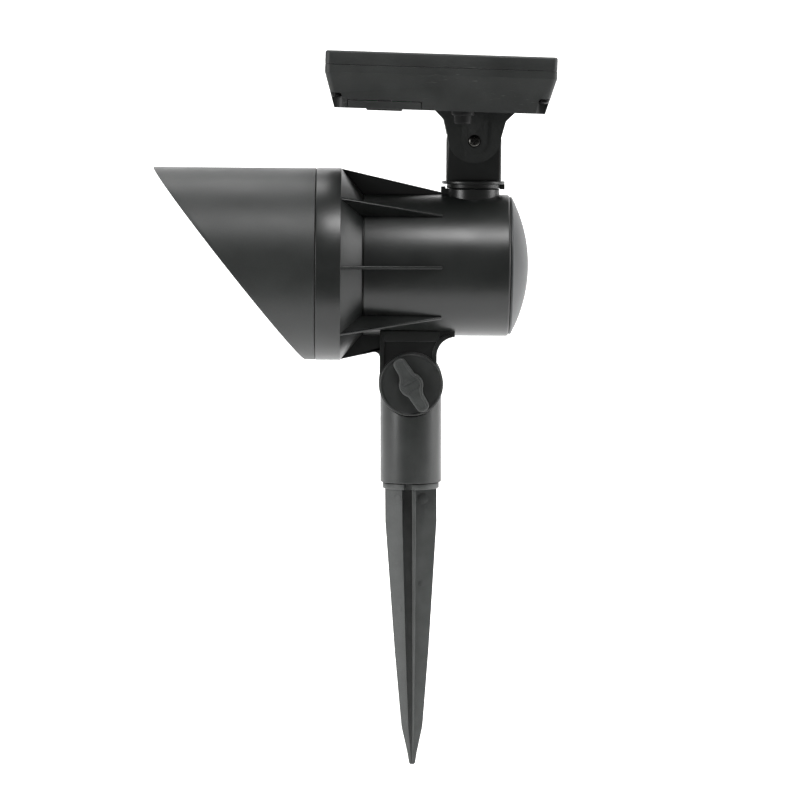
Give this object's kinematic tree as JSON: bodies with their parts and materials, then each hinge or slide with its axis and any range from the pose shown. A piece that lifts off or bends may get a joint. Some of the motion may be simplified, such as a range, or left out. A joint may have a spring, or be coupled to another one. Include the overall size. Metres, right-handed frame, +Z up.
{
  "type": "solar garden spotlight on a stake",
  "caption": "Hooded round spotlight on a ground stake, with a tilting clamp joint and a square solar panel on a swivel post above the lamp body.",
  "frame": {"origin": "on the stake's axis at the ground line, in the plane of the collar's underside", "axes": "+Z up along the stake, -X the way the lamp shines, +Y away from the side with the wing knob"},
  "size_m": [0.1716, 0.097, 0.3081],
  "materials": {
    "stake_plastic": "matt black moulded plastic",
    "tube_plastic": "satin black moulded plastic",
    "housing_plastic": "satin black moulded plastic",
    "hood_plastic": "satin black moulded plastic",
    "cap_plastic": "satin black moulded plastic",
    "knob_plastic": "matt black moulded plastic",
    "post_plastic": "satin black moulded plastic",
    "panel_plastic": "finely textured black moulded plastic",
    "bezel_plastic": "finely textured black moulded plastic",
    "door_plastic": "finely textured black moulded plastic",
    "clear_plastic": "clear moulded polycarbonate",
    "black_rubber": "moulded black rubber",
    "mirror_coat": "vacuum metallised plastic",
    "zinc_steel": "zinc plated steel",
    "white_board": "white solder mask",
    "green_board": "green solder mask",
    "phosphor": "yellow phosphor in clear resin",
    "silicon": "blue black silicon cell on its backing",
    "cell_sleeve": "shrink sleeve over a steel can",
    "black_carrier": "black moulded plastic"
  },
  "bodies": {
    "stake_base": {"stake": "stake_plastic", "tube": "tube_plastic"},
    "lamp": {"lamp_body": "housing_plastic", "hood": "hood_plastic", "rear_cap": "cap_plastic", "cap_seal_ring": "black_rubber", "lens": "clear_plastic", "lens_gasket": "black_rubber", "reflector": "mirror_coat", "led_emitter": "phosphor", "led_board": "white_board", "led_carrier": "black_carrier", "clamp_nut": "zinc_steel"},
    "knob": {"wing_knob": "knob_plastic", "clamp_bolt": "zinc_steel"},
    "panel_post": {"swivel_post": "post_plastic", "swivel_clip": "zinc_steel", "post_cable": "black_rubber"},
    "panel_head": {"panel_base": "panel_plastic", "panel_bezel": "bezel_plastic", "solar_window": "clear_plastic", "solar_cell": "silicon", "pivot_screw": "zinc_steel", "pivot_nut": "zinc_steel", "corner_screw_1": "zinc_steel", "corner_screw_2": "zinc_steel", "corner_screw_3": "zinc_steel", "corner_screw_4": "zinc_steel", "battery_cell_1": "cell_sleeve", "battery_cell_2": "cell_sleeve", "battery_contact_1": "zinc_steel", "battery_contact_2": "zinc_steel", "battery_link": "zinc_steel", "charge_board": "green_board", "switch_body": "black_carrier"},
    "switch": {"switch_button": "black_rubber"},
    "door": {"battery_door": "door_plastic"}
  },
  "joints": [
    {"name": "lamp_tilt", "type": "hinge", "parent": "stake_base", "child": "lamp", "pos_m": [0, 0, 0.0456], "axis": [0, 1, 0], "range_deg": [-40, 70]},
    {"name": "knob_turn", "type": "hinge", "parent": "lamp", "child": "knob", "pos_m": [0, 0, 0.0456], "axis": [0, 1, 0], "continuous": true},
    {"name": "panel_swivel", "type": "hinge", "parent": "lamp", "child": "panel_post", "pos_m": [0.02682, 0, 0.12837], "axis": [0.0087, 0, 1], "range_deg": [-165, 165]},
    {"name": "panel_tilt", "type": "hinge", "parent": "panel_post", "child": "panel_head", "pos_m": [0.02701, 0, 0.14937], "axis": [0, 1, 0], "range_deg": [-20, 40]},
    {"name": "switch_press", "type": "slide", "parent": "panel_head", "child": "switch", "axis": [0.0323, 0, 0.9995], "range_m": [0, 0.0015], "stiffness_N_per_m": 400, "springref_m": -0.0005},
    {"name": "door_slide", "type": "slide", "parent": "panel_head", "child": "door", "axis": [0, -1, 0], "range_m": [0, 0.062]}
  ]
}
